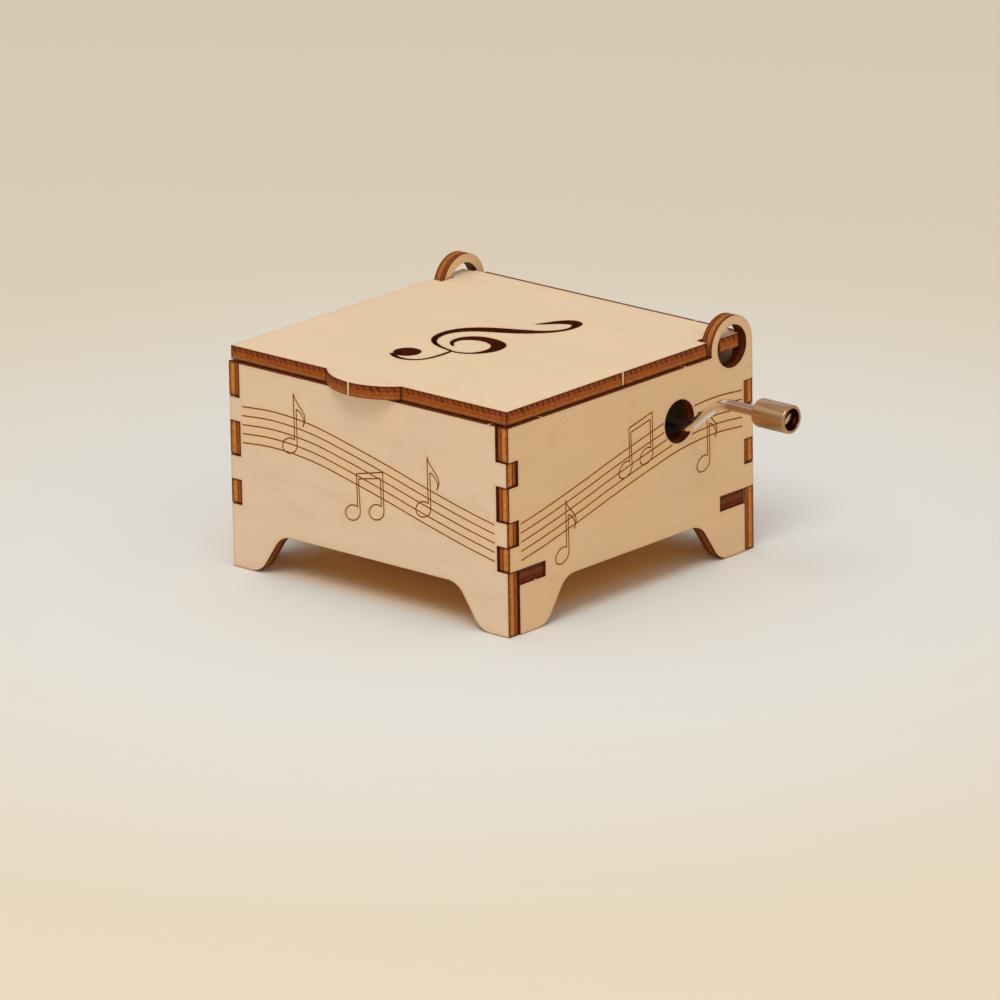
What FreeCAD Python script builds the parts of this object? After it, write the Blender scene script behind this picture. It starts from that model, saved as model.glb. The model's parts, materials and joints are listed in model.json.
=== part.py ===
"""A small plywood music box with a hand-cranked cylinder movement, in millimetres, +Z up.

The origin is the centre of the case's footprint, on the surface that the feet stand on.
The front is -Y, and the crank comes out of the right wall, on +X.
Four laser-cut panels lock together with finger joints and hold a base board in corner slots.
The lid turns on two lugs of its own in the ears of the side panels.
On the base board stands the movement: the crank's worm turns a wheel on the arbor of a
pinned cylinder, and the pins pass the eighteen teeth of a steel comb.
"""
import FreeCAD
import Part
import math
import os

V = FreeCAD.Vector

# Case, from outer face to outer face
case_width = 73.0
wall_height = 42.0
ply = 2.7                    # thickness of the plywood
slot_width = 3.0             # width that the slots are cut to
end_recess = 0.3             # how far the fingers' ends stop short of the face
finger_gap = 0.05            # play above and below a finger
# Heights at which the fingers change sides; below the first the front and back panels have the corners
finger_levels = (13.0, 18.0, 23.0, 30.0, 35.0)
back_rise = 2.1              # the back panel stands this much higher between the ears

# Arch under each panel
arch_height = 8.6
arch_slope = 56.0            # degrees, of the legs' inner sides
arch_bend = 4.7              # radius at both ends of the slope
arch_middle_front = 26.0     # half width of the arch at mid height, front and back panels
arch_middle_side = 22.9      # the same, side panels

# Base board
base_under = 10.0            # underside above the feet
base_tab_length = 7.5        # along the side panels, at each corner

# Ears of the side panels, in which the lid turns
ear_y = 30.0
ear_z = 43.0
ear_radius = 6.2
ear_hole = 4.3

# Lid
lid_half_width = 36.0
lid_front = -35.9
lid_back = 33.1
lid_pivot_y = 29.6           # the line that the lid turns about
lid_pivot_z = 43.3
lid_under = lid_pivot_z - 0.85
notch_front = 23.0           # the lid is cut away behind this, outside the notch's inner edge
notch_inner = 33.4
lug_from = lid_pivot_y - 3.1
lug_to = lid_pivot_y + 2.8
lug_end = 36.2
bump_centre_x = -0.9         # round thumb catch on the front edge
bump_radius = 13.4
bump_reach = 4.2

# Treble clef cut through the lid: centre line of each stroke, and its width there
clef_stem = (
    (1.6, -12.2, 0.5), (-2.6, -11.3, 0.65), (-5.1, -10.3, 0.85), (-7.1, -8.8, 1.15),
    (-8.3, -6.4, 1.45), (-8.7, -4.0, 1.8), (-8.2, -1.6, 2.2), (-7.1, 0.4, 2.5),
    (-5.4, 2.1, 2.8), (-3.2, 3.5, 3.0), (-0.6, 4.8, 3.0), (2.1, 6.2, 2.7),
    (4.6, 7.8, 2.05), (6.7, 9.7, 1.4), (8.2, 12.2, 1.05), (8.5, 15.0, 1.4),
    (7.5, 17.0, 2.4), (6.0, 17.3, 2.9), (4.7, 16.4, 2.5), (3.4, 15.0, 1.8),
    (2.5, 13.7, 1.2), (1.3, 12.0, 0.35))
clef_loop = (
    (-1.5, -9.1, 0.5), (-3.1, -7.8, 0.8), (-3.7, -6.0, 1.4), (-3.3, -4.3, 2.1),
    (-2.1, -3.0, 2.55), (-0.3, -2.2, 2.65), (1.7, -2.1, 2.7), (3.7, -2.5, 2.9),
    (5.2, -3.4, 3.05), (6.1, -4.8, 2.8), (6.4, -6.7, 2.2), (6.0, -8.6, 1.55),
    (5.0, -10.4, 1.05), (3.3, -11.6, 0.8), (0.6, -12.1, 0.55))
clef_tail = (
    (0.5, -12.2, 0.6), (0.7, -14.8, 0.75), (0.5, -17.4, 0.75), (-0.1, -19.5, 0.75),
    (-1.5, -21.1, 0.7), (-3.6, -21.7, 0.75), (-5.7, -21.4, 0.9), (-7.4, -20.1, 1.5))
clef_ball = (-5.9, -17.8, 2.75)
clef_tolerance = 0.08        # how far the arcs of its outline may stray from smooth curves

# Crank: a bent wire with a turned sleeve for a knob
crank_y = 14.4
crank_z = 30.6
crank_hole_y = 14.0
crank_hole_z = 31.45
crank_hole = 4.35
wire_radius = 1.05
crank_throw = 6.5
crank_inner_end = 4.9
crank_bend_start = 39.7      # where the shaft's axis would meet the arm's
crank_arm_slope = 43.5       # degrees
crank_bend_inner = 6.2
crank_bend_outer = 4.8
crank_tip = 63.9
knob_from = 55.5
knob_to = 64.8
knob_radius = 2.72
knob_counterbore = 2.15
knob_counterbore_depth = 2.6
knob_taper = 0.8             # the inner end is chamfered by this much
tip_half_width = 1.35        # the wire's end is pressed flat inside the knob
tip_half_thickness = 0.5
tip_flattening = 0.7         # length over which it goes from round to flat
tip_turn = 42.0              # degrees from level

# Running and fixed fits
running_gap = 0.05
fixed_gap = 0.01

# Movement: cylinder, worm wheel and worm
base_top = base_under + ply
cylinder_x = 14.0
gear_module = 0.6
wheel_teeth = 20
worm_radius = 2.5            # to the pitch line
addendum = 0.55
dedendum = 0.75
thread_width = 0.7           # at the pitch line
tooth_width = 0.83           # at the pitch line
flank = math.tan(math.radians(20.0))
thread_turns = 3
thread_steps = 12            # flat steps that one turn of the thread is made of
worm_half_length = 6.9
wheel_width = 3.0
tooth_buried = 0.3           # how far a wheel tooth or the thread starts inside what carries it
cylinder_radius = 6.5
cylinder_wall = 0.6
cylinder_from = -9.6
cylinder_to = 9.9
cap_thickness = 1.4
cap_boss = 2.6
pin_radius = 0.2
pin_length = 0.85
pin_buried = 0.3             # how far a pin starts inside the tube's wall
pin_sides = 4
tune_beats = 24              # places round the cylinder where a pin may stand
arbor_radius = 1.0
arbor_overhang = 0.5         # past the outer face of each bearing
bearing_radius = 4.0         # round top of each bearing post

# Movement: bedplate and comb
bed_thickness = 2.0
bed_from = (-18.0, -15.5)
bed_to = (27.0, 24.0)
bed_corner = 3.0
front_post = (-13.4, -11.0)
back_post = (18.0, 19.2)
comb_teeth = 18
comb_pitch = 1.0
comb_tooth_width = 0.78
comb_tooth_thickness = 0.6
comb_thickness = 1.2
comb_half_length = 9.8
comb_corner = 0.9            # radius of the back corners
tooth_run_in = 1.0           # how far a tooth starts inside the plate
comb_back = -17.2
comb_tip = 6.45
comb_root_bass = -10.5
comb_root_treble = -4.5
comb_screw_x = -14.2
comb_screw_y = 6.0
seat_front = -11.5           # front edge of the block that the comb is screwed to
weight_count = 8
weight_length = 3.6
weight_width = 0.68
weight_set_back = 0.9        # from the tooth's tip
weight_depth = 2.4           # of the lowest note's
weight_step = 0.22           # each next one is this much shallower
damper_width = 0.3
damper_thickness = 0.15
damper_line = ((5.0, 0.0), (4.0, 0.9), (0.2, 0.5))    # back from the tip, and down from the tooth
bracket_thickness = 1.0
bracket_half_width = 3.0
bracket_half_span = 7.0      # from the cylinder's axis to the cheeks' inner faces
bracket_foot = 5.0
bracket_headroom = 0.4       # between the worm's tip and the bridge
bracket_bend = 1.4           # outer radius at both ends of the bridge
plate_foot = 5.4             # of the back bearing, from its front face
plate_foot_thickness = 1.2
plate_screw_set_back = 3.4   # of its screw, from its front face
mounting_points = ((-13.0, -12.6), (22.5, -11.0), (-8.0, 19.0))

# Screws: radius of the thread, of a clearance hole and of the head, and the head's height
mounting_screw = (1.25, 1.6, 2.4, 1.5)
comb_screw = (1.0, 1.1, 1.9, 1.3)
small_screw = (1.0, 1.1, 1.8, 1.2)
thread_gap = 0.02            # between a thread and its tapped hole
thread_sides = 8             # a thread and its hole stand in for round ones
head_sides = 12
comb_screw_length = 5.0
small_screw_length = 2.6

# Worked out
half = case_width / 2
inner = half - ply
slot_wall = half - slot_width
tab_end = half - end_recess
wheel_radius = gear_module * wheel_teeth / 2
cylinder_z = crank_z - worm_radius - wheel_radius
cylinder_middle = (cylinder_from + cylinder_to) / 2
worm_pitch = math.pi * gear_module
bed_top = base_top + bed_thickness
comb_middle = cylinder_z + 0.1
comb_under = comb_middle - comb_thickness / 2
comb_top = comb_under + comb_thickness
tooth_under = comb_middle - comb_tooth_thickness / 2
comb_screw_points = ((comb_screw_x, -comb_screw_y), (comb_screw_x, comb_screw_y))
bracket_reach = bracket_half_span + bracket_thickness + bracket_foot / 2
bracket_screw_points = ((cylinder_x - bracket_reach, crank_y), (cylinder_x + bracket_reach, crank_y))
bearing_screw_point = (cylinder_x, back_post[0] + plate_screw_set_back)
tip_start = knob_to - knob_counterbore_depth + 0.3    # where the wire's end begins to flatten

FRONT = FreeCAD.Rotation(V(1, 0, 0), 90)       # a sheet's x, y, z become X, Z, -Y
SIDE = FreeCAD.Rotation(V(1, 1, 1), 120)       # a sheet's x, y, z become Y, Z, X


def corner_arc(before, corner, after, radius):
    """The tangent arc that rounds a corner, as its start, middle and end."""
    to_before = (before - corner).normalize()
    to_after = (after - corner).normalize()
    half_angle = to_before.getAngle(to_after) / 2
    run = radius / math.tan(half_angle)
    middle = (to_before + to_after).normalize()
    centre = corner + middle * (radius / math.sin(half_angle))
    return corner + to_before * run, centre - middle * radius, corner + to_after * run


def outline(points):
    """A closed wire in the XY plane. A point is (x, y), or (x, y, radius) for a round corner."""
    corners = [V(p[0], p[1], 0) for p in points]
    radii = [p[2] if len(p) > 2 else 0 for p in points]
    stops = []
    edges = []
    for i, corner in enumerate(corners):
        if radii[i]:
            arc = corner_arc(corners[i - 1], corner, corners[(i + 1) % len(corners)], radii[i])
            edges.append((arc[0], Part.Arc(*arc).toShape()))
            stops.append((arc[0], arc[2]))
        else:
            edges.append((corner, None))
            stops.append((corner, corner))
    loop = []
    for i, (start, arc) in enumerate(edges):
        if arc:
            loop.append(arc)
        following = stops[(i + 1) % len(stops)][0]
        if (following - stops[i][1]).Length > 1e-6:
            loop.append(Part.makeLine(stops[i][1], following))
    return Part.Wire(loop)


def sheet(wire, thickness, low=0.0):
    """A closed wire in the XY plane, extruded from low upwards."""
    solid = Part.Face(wire).extrude(V(0, 0, thickness))
    solid.translate(V(0, 0, low))
    return solid


def turned(solid, rotation, offset):
    moved = solid.copy()
    moved.Placement = FreeCAD.Placement(offset, rotation)
    return moved


def rod(radius, start, end):
    """A round bar between two points."""
    return Part.makeCylinder(radius, (end - start).Length, start, end - start)


def box(low, high):
    size = V(*high) - V(*low)
    return Part.makeBox(size.x, size.y, size.z, V(*low))


def ngon(centre, first, second, sides):
    """A face with equal sides round a centre, whose corners lie as far out as first and second."""
    angles = [2 * math.pi * k / sides for k in range(sides)]
    corners = [centre + first * math.cos(a) + second * math.sin(a) for a in angles]
    return Part.Face(Part.makePolygon(corners + corners[:1]))


def prism(x, y, low, high, radius, sides):
    """An upright bar with a regular many-sided section, whose corners lie on the radius."""
    return ngon(V(x, y, low), V(radius, 0, 0), V(0, radius, 0), sides).extrude(V(0, 0, high - low))


def skinned(sections):
    """A solid through sections with as many corners each, in flat triangles."""
    faces = [Part.Face(Part.makePolygon(end + end[:1])) for end in (sections[0], sections[-1])]
    for near, far in zip(sections, sections[1:]):
        for i in range(len(near)):
            j = (i + 1) % len(near)
            for corners in ([near[i], near[j], far[j]], [near[i], far[j], far[i]]):
                faces.append(Part.Face(Part.makePolygon(corners + corners[:1])))
    shell = Part.Shell(faces)
    shell.sewShape()
    solid = Part.Solid(shell)
    if solid.Volume < 0:
        solid.reverse()
    return solid


def drilled(solid, points, radius, low, high):
    """The solid with a vertical screw hole at each point."""
    for x, y in points:
        solid = solid.cut(prism(x, y, low, high, radius, thread_sides))
    return solid


def mirrored_outline(points):
    """The right half of an outline, from bottom to top, and its mirror image."""
    return points + [(-p[0],) + tuple(p[1:]) for p in reversed(points)]


# --- Case ---------------------------------------------------------------------------------

def stepped_end(tabs, top):
    """Points up the right end of a panel: out within each tab's band, in between them."""
    points = []
    for low, high in tabs:
        if low > 0:
            points += [(slot_wall, low + finger_gap), (tab_end, low + finger_gap)]
        if high < top:
            points += [(tab_end, high - finger_gap), (slot_wall, high - finger_gap)]
    return points


def arch(middle):
    """The right half of the opening between the legs: two bends and a slope."""
    lean = arch_height / 2 / math.tan(math.radians(arch_slope))
    return [(middle - lean, arch_height, arch_bend), (middle + lean, 0, arch_bend)]


def end_panel(top):
    """The front or the back panel, flat, with x from left to right and y up."""
    a, b, c, d, e = finger_levels
    right = arch(arch_middle_front) + [(tab_end, 0)]
    right += stepped_end(((0, a), (b, c), (d, e)), top) + [(slot_wall, top)]
    return sheet(outline(mirrored_outline(right)), ply)


def side_panel(holes):
    """A side panel, flat, with x from front to back and y up, and the ear at the back."""
    a, b, c, d, e = finger_levels
    base_notch = slot_wall - base_tab_length
    right = arch(arch_middle_side) + [(slot_wall, 0), (slot_wall, base_under),
                                      (base_notch, base_under), (base_notch, a + finger_gap)]
    right += stepped_end(((a, b), (c, d), (e, wall_height)), wall_height)[1:]
    right += [(tab_end, wall_height)]
    panel = sheet(outline(mirrored_outline(right)), ply)
    panel = panel.fuse(Part.makeCylinder(ear_radius, ply, V(ear_y, ear_z, 0))).removeSplitter()
    panel = panel.cut(Part.makeCylinder(ear_hole, ply, V(ear_y, ear_z, 0)))
    for y, z, radius in holes:
        panel = panel.cut(Part.makeCylinder(radius, ply, V(y, z, 0)))
    return panel


def base_board():
    """The floor of the case: a square with a tab at each corner, and the movement's screw holes."""
    body = inner - finger_gap
    far = slot_wall - finger_gap
    near = slot_wall - base_tab_length + 2 * finger_gap
    right = [(body, -body), (body, -far), (tab_end, -far), (tab_end, -near), (body, -near),
             (body, near), (tab_end, near), (tab_end, far), (body, far), (body, body)]
    board = sheet(outline(mirrored_outline(right)), ply, base_under)
    return drilled(board, mounting_points, mounting_screw[1], base_under, base_top)


def swelling_stroke(points):
    """A face along a centre line, whose width swells and tapers as a pen stroke does."""
    centre = Part.BSplineCurve()
    centre.interpolate([V(x, y, 0) for x, y, width in points])
    sides = ([], [])
    for x, y, width in points:
        along = centre.tangent(centre.parameter(V(x, y, 0)))[0]
        across = V(-along.y, along.x, 0) * (width / 2)
        sides[0].append(V(x, y, 0) + across)
        sides[1].append(V(x, y, 0) - across)
    edges = []
    for side in sides:
        curve = Part.BSplineCurve()
        curve.interpolate(side)
        edges += [arc.toShape() for arc in curve.toBiArcs(clef_tolerance)]
    for end in (0, -1):
        edges.append(Part.makeLine(sides[0][end], sides[1][end]))
    return Part.Face(Part.Wire(Part.__sortEdges__(edges)))


def clef_cutters():
    """The treble clef as solids through the lid: ball, stem, loop and tail."""
    x, y, radius = clef_ball
    solids = [Part.makeCylinder(radius, ply, V(x, y, lid_under))]
    for stroke in (clef_stem, clef_loop, clef_tail):
        face = swelling_stroke(stroke)
        face.translate(V(0, 0, lid_under))
        solids.append(face.extrude(V(0, 0, ply)))
    return solids


def lid():
    """The lid: a square with notches for the ears, a lug at each side and a thumb catch."""
    right = [(lid_half_width, lid_front), (lid_half_width, notch_front), (notch_inner, notch_front),
             (notch_inner, lug_from), (lug_end, lug_from), (lug_end, lug_to),
             (notch_inner, lug_to), (notch_inner, lid_back)]
    plate = sheet(outline(mirrored_outline(right)), ply, lid_under)
    bump_y = lid_front - bump_reach + bump_radius
    bump = Part.makeCylinder(bump_radius, ply, V(bump_centre_x, bump_y, lid_under))
    plate = plate.fuse(bump).removeSplitter()
    for cutter in clef_cutters():
        plate = plate.cut(cutter)
    return plate


# --- Crank ----------------------------------------------------------------------------------

def crank_path():
    """The wire's centre line: along the shaft, up the slanting arm and out along the handle."""
    rise = crank_throw / math.tan(math.radians(crank_arm_slope))
    low = V(crank_bend_start, crank_y, crank_z)
    high = V(crank_bend_start + rise, crank_y, crank_z + crank_throw)
    start = V(crank_inner_end, crank_y, crank_z)
    end = V(tip_start, crank_y, crank_z + crank_throw)
    first = corner_arc(start, low, high, crank_bend_inner)
    second = corner_arc(low, high, end, crank_bend_outer)
    edges = [Part.makeLine(start, first[0]), Part.Arc(*first).toShape(),
             Part.makeLine(first[2], second[0]), Part.Arc(*second).toShape(),
             Part.makeLine(second[2], end)]
    return Part.Wire(edges)


def crank_shaft():
    """The bent wire, with its outer end pressed flat so that the knob can't come off."""
    section = Part.Wire(Part.makeCircle(wire_radius, V(crank_inner_end, crank_y, crank_z), V(1, 0, 0)))
    wire = crank_path().makePipeShell([section], True, False)
    axis = V(0, crank_y, crank_z + crank_throw)
    rings = [Part.Wire(Part.makeCircle(wire_radius, axis + V(tip_start, 0, 0), V(1, 0, 0)))]
    angle = math.radians(tip_turn)
    wide = V(0, math.cos(angle), math.sin(angle)) * tip_half_width
    thin = V(0, -math.sin(angle), math.cos(angle)) * tip_half_thickness
    for x in (tip_start + tip_flattening, crank_tip):
        centre = axis + V(x, 0, 0)
        ring = Part.Ellipse(centre + wide, centre + thin, centre)
        rings.append(Part.Wire(ring.toShape()))
    tip = Part.makeLoft(rings, True, True)
    return wire.fuse(tip)


def crank_knob():
    """A turned sleeve that spins on the wire, with a wide mouth at its outer end."""
    bore = wire_radius + running_gap
    mouth_floor = knob_to - knob_counterbore_depth
    profile = outline([(knob_from, bore), (mouth_floor, bore), (mouth_floor, knob_counterbore),
                       (knob_to, knob_counterbore), (knob_to, knob_radius),
                       (knob_from + knob_taper, knob_radius), (knob_from, knob_radius - knob_taper)])
    solid = Part.Face(profile).revolve(V(0, 0, 0), V(1, 0, 0), 360)
    solid.translate(V(0, crank_y, crank_z + crank_throw))
    return solid


def thread_section(turn_share):
    """The worm's thread across itself, a share of a turn from local -X: a trapezoid from inside the core."""
    angle = math.pi + 2 * math.pi * turn_share
    out = V(math.cos(angle), math.sin(angle), 0)
    corners = []
    for radius, side in ((worm_radius - dedendum - tooth_buried, -1), (worm_radius + addendum, -1),
                         (worm_radius + addendum, 1), (worm_radius - dedendum - tooth_buried, 1)):
        half_width = thread_width / 2 - (radius - worm_radius) * flank
        corners.append(out * radius + V(0, 0, worm_pitch * turn_share + side * half_width))
    return corners


def worm():
    """A brass worm pressed on the shaft: a core with a right-hand thread round its middle."""
    shares = [k / thread_steps - thread_turns / 2 for k in range(thread_turns * thread_steps + 1)]
    thread = skinned([thread_section(share) for share in shares])
    core = Part.makeCylinder(worm_radius - dedendum, 2 * worm_half_length, V(0, 0, -worm_half_length))
    bore = Part.makeCylinder(wire_radius + fixed_gap, 2 * worm_half_length, V(0, 0, -worm_half_length))
    solid = core.fuse(thread).cut(bore)
    # Local Z becomes X and local -X becomes Z: the thread's middle is on top, a space meets the wheel
    return turned(solid, FreeCAD.Rotation(V(0, 1, 0), 90), V(cylinder_x, crank_y, crank_z))


# --- Cylinder -------------------------------------------------------------------------------

def cylinder_track(index):
    """Where a tooth's track runs along the cylinder."""
    return cylinder_middle + (index - (comb_teeth - 1) / 2) * comb_pitch


def on_axis(y):
    """The point on the cylinder's axis at y."""
    return V(cylinder_x, y, cylinder_z)


def pin_angles(index):
    """The angles of a track's pins: three, four or five of the tune's beats, evenly stepped."""
    note_count = 3 + index % 3
    step = 5 + index % 3
    first_beat = 7 * index
    return [2 * math.pi * ((first_beat + k * step) % tune_beats) / tune_beats for k in range(note_count)]


def pinned_cylinder():
    """A brass tube with a flat for each beat, and the tune's pins standing on the flats, along Y."""
    half_beat = math.pi / tune_beats
    corner = V(math.cos(half_beat), 0, math.sin(half_beat)) * (cylinder_radius / math.cos(half_beat))
    tube = ngon(on_axis(cylinder_from), corner, V(0, 1, 0).cross(corner), tune_beats)
    tube = tube.extrude(V(0, cylinder_to - cylinder_from, 0))
    pins = []
    for track in range(comb_teeth):
        for angle in pin_angles(track):
            out = V(-math.cos(angle), 0, math.sin(angle))
            foot = on_axis(cylinder_track(track)) + out * (cylinder_radius - pin_buried)
            section = ngon(foot, V(0, pin_radius, 0), V(0, pin_radius, 0).cross(out), pin_sides)
            pins.append(section.extrude(out * (pin_length + pin_buried)))
    hollow = rod(cylinder_radius - cylinder_wall, on_axis(cylinder_from), on_axis(cylinder_to))
    return tube.fuse(pins).cut(hollow)


def cylinder_cap(face, inward, boss_end):
    """A plug in one end of the tube, with a boss that keeps it off its neighbour."""
    inside = face + inward * cap_thickness
    plug = rod(cylinder_radius - cylinder_wall - fixed_gap, on_axis(face), on_axis(inside))
    boss = rod(cap_boss, on_axis(face), on_axis(boss_end))
    return plug.fuse(boss).cut(rod(arbor_radius + fixed_gap, on_axis(inside), on_axis(boss_end)))


def cylinder_arbor():
    return rod(arbor_radius, on_axis(front_post[0] - arbor_overhang), on_axis(back_post[1] + arbor_overhang))


def wheel_section(turn, y):
    """The corners of all the wheel's teeth at y, with the teeth turned by an angle."""
    tip = wheel_radius + addendum
    root = wheel_radius - dedendum
    corners = []
    for k in range(wheel_teeth):
        for radius, side in ((root, -1), (tip, -1), (tip, 1), (root, 1)):
            half_width = tooth_width / 2 - (radius - wheel_radius) * flank
            angle = turn + 2 * math.pi * k / wheel_teeth + side * half_width / radius
            corners.append(V(cylinder_x + radius * math.sin(angle), y, cylinder_z + radius * math.cos(angle)))
    return corners


def worm_wheel():
    """The wheel that the worm turns: a disc with helical teeth, and a hub pressed on the arbor."""
    low = crank_y - wheel_width / 2
    high = crank_y + wheel_width / 2
    hub_end = back_post[0] - running_gap
    # The teeth lean as the worm's thread does, by this angle on each side of the middle
    lead = worm_pitch / (2 * math.pi * worm_radius)
    twist = wheel_width / 2 * lead / wheel_radius
    wheel = skinned([wheel_section(-twist, low), wheel_section(twist, high)])
    wheel = wheel.fuse(rod(cap_boss, on_axis(high), on_axis(hub_end)))
    return wheel.cut(rod(arbor_radius + fixed_gap, on_axis(low), on_axis(hub_end)))


# --- Bedplate, bearings and bracket -----------------------------------------------------------

def post(y_range):
    """An upright with a round top and the arbor's bearing hole in it."""
    low, high = y_range
    upright = box((cylinder_x - bearing_radius, low, bed_top),
                  (cylinder_x + bearing_radius, high, cylinder_z))
    top = rod(bearing_radius, on_axis(low), on_axis(high))
    return upright.fuse(top).cut(rod(arbor_radius + running_gap, on_axis(low), on_axis(high)))


def bedplate():
    """The cast bed: a plate with the comb's seat and the front bearing post."""
    corners = [(bed_from[0], bed_from[1], bed_corner), (bed_to[0], bed_from[1], bed_corner),
               (bed_to[0], bed_to[1], bed_corner), (bed_from[0], bed_to[1], bed_corner)]
    bed = sheet(outline(corners), bed_thickness, base_top)
    seat = box((comb_back, -comb_half_length, bed_top), (seat_front, comb_half_length, comb_under))
    bed = bed.fuse([seat, post(front_post)])
    bed = drilled(bed, mounting_points, mounting_screw[0], base_top, bed_top)
    bed = drilled(bed, comb_screw_points, comb_screw[0], bed_top, comb_under)
    bed = drilled(bed, bracket_screw_points, small_screw[0], base_top, bed_top)
    return drilled(bed, [bearing_screw_point], small_screw[0], base_top, bed_top)


def bearing_plate():
    """The back bearing: a steel angle screwed to the bed, so that the cylinder can be fitted."""
    foot_top = bed_top + plate_foot_thickness
    foot = box((cylinder_x - bearing_radius, back_post[0], bed_top),
               (cylinder_x + bearing_radius, back_post[0] + plate_foot, foot_top))
    return drilled(post(back_post).fuse(foot), [bearing_screw_point], small_screw[1], bed_top, foot_top)


def crank_bracket():
    """A bent strip of steel over worm and wheel: two feet, two cheeks and a bridge."""
    inside = bracket_half_span
    outside = inside + bracket_thickness
    toe = outside + bracket_foot
    foot_top = bed_top + bracket_thickness
    under = crank_z + worm_radius + addendum + bracket_headroom
    right = [(inside, bed_top), (toe, bed_top), (toe, foot_top), (outside, foot_top),
             (outside, under + bracket_thickness, bracket_bend)]
    inner_side = [(-inside, under), (inside, under)]
    strip = sheet(outline(mirrored_outline(right) + inner_side), 2 * bracket_half_width)
    strip = turned(strip, FRONT, V(cylinder_x, crank_y + bracket_half_width, 0))
    shaft_hole = rod(wire_radius + running_gap, V(cylinder_x - outside, crank_y, crank_z),
                     V(cylinder_x + outside, crank_y, crank_z))
    return drilled(strip.cut(shaft_hole), bracket_screw_points, small_screw[1], bed_top, foot_top)


def screw(point, seat, length, sizes, up=1):
    """A screw whose head sits on seat; up is 1 with the head above it, -1 below."""
    x, y = point
    thread_radius, _, head_radius, head_height = sizes
    thread = prism(x, y, seat, seat - up * length, thread_radius - thread_gap, thread_sides)
    head = prism(x, y, seat, seat + up * head_height, head_radius, head_sides)
    return head.fuse(thread)


# --- Comb -------------------------------------------------------------------------------------

def tooth_root(index):
    share = index / (comb_teeth - 1)
    return comb_root_bass + (comb_root_treble - comb_root_bass) * share


def comb():
    """The steel comb: a plate with a slanting front edge and eighteen teeth, bass at the front."""
    low = cylinder_middle - comb_half_length
    high = cylinder_middle + comb_half_length
    plate = [(comb_back, low, comb_corner), (comb_root_bass, low), (comb_root_treble, high),
             (comb_back, high, comb_corner)]
    body = sheet(outline(plate), comb_thickness, comb_under)
    teeth = []
    for i in range(comb_teeth):
        y = cylinder_track(i)
        teeth.append(box((tooth_root(i) - tooth_run_in, y - comb_tooth_width / 2, tooth_under),
                         (comb_tip, y + comb_tooth_width / 2, tooth_under + comb_tooth_thickness)))
    return drilled(body.fuse(teeth), comb_screw_points, comb_screw[1], comb_under, comb_top)


def comb_weights():
    """Lead under the tips of the bass teeth, heavier towards the lowest note."""
    end = comb_tip - weight_set_back
    weights = []
    for i in range(weight_count):
        depth = weight_depth - weight_step * i
        y = cylinder_track(i)
        weights.append(box((end - weight_length, y - weight_width / 2, tooth_under - depth),
                           (end, y + weight_width / 2, tooth_under)))
    return Part.makeCompound(weights)


def comb_dampers():
    """A fine spring under the tip of each tooth past the weights, which stills it before a pin."""
    springs = []
    for i in range(weight_count, comb_teeth):
        y = cylinder_track(i) - damper_width / 2
        upper = [V(comb_tip - back, y, tooth_under - down) for back, down in damper_line]
        lower = [p - V(0, 0, damper_thickness) for p in reversed(upper)]
        section = Part.Face(Part.makePolygon(upper + lower + upper[:1]))
        springs.append(section.extrude(V(0, damper_width, 0)))
    return Part.makeCompound(springs)


# --- Assembly ---------------------------------------------------------------------------------

def build():
    parts = {}
    parts["front_panel"] = turned(end_panel(wall_height), FRONT, V(0, -inner, 0))
    parts["back_panel"] = turned(end_panel(wall_height + back_rise), FRONT, V(0, half, 0))
    parts["left_panel"] = turned(side_panel([]), SIDE, V(-half, 0, 0))
    crank_opening = [(crank_hole_y, crank_hole_z, crank_hole)]
    parts["right_panel"] = turned(side_panel(crank_opening), SIDE, V(inner, 0, 0))
    parts["base_board"] = base_board()
    parts["lid"] = lid()

    parts["crank_shaft"] = crank_shaft()
    parts["crank_knob"] = crank_knob()
    parts["worm"] = worm()

    parts["pinned_cylinder"] = pinned_cylinder()
    parts["cylinder_cap_front"] = cylinder_cap(cylinder_from, 1, front_post[1] + running_gap)
    parts["cylinder_cap_back"] = cylinder_cap(cylinder_to, -1, crank_y - wheel_width / 2 - fixed_gap)
    parts["cylinder_arbor"] = cylinder_arbor()
    parts["worm_wheel"] = worm_wheel()

    parts["bedplate"] = bedplate()
    parts["bearing_plate"] = bearing_plate()
    parts["crank_bracket"] = crank_bracket()
    parts["comb"] = comb()
    parts["comb_weights"] = comb_weights()
    parts["comb_dampers"] = comb_dampers()

    bracket_seat = bed_top + bracket_thickness
    parts["comb_screws"] = Part.makeCompound(
        [screw(point, comb_top, comb_screw_length, comb_screw) for point in comb_screw_points])
    parts["bracket_screws"] = Part.makeCompound(
        [screw(point, bracket_seat, small_screw_length, small_screw) for point in bracket_screw_points])
    parts["bearing_screw"] = screw(bearing_screw_point, bed_top + plate_foot_thickness, small_screw_length,
                                   small_screw)
    parts["mounting_screws"] = Part.makeCompound(
        [screw(point, base_under, ply + bed_thickness, mounting_screw, -1) for point in mounting_points])
    return parts


def main():
    os.makedirs("parts", exist_ok=True)
    for name, shape in build().items():
        if not shape.isValid():
            raise ValueError(name + " is not a valid shape")
        shape.exportStep(os.path.join("parts", name + ".step"))


main()
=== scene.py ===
"""Looks for the plywood music box: engraved, laser-cut walls and lid, a nickel crank and the movement.

Lengths are in millimetres until a mesh is written, which is in metres, in the frame of the CAD.
"""
import json
import math

import bmesh
import bpy
import numpy as np
from mathutils import Matrix, Vector
from mathutils.geometry import delaunay_2d_cdt


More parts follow.
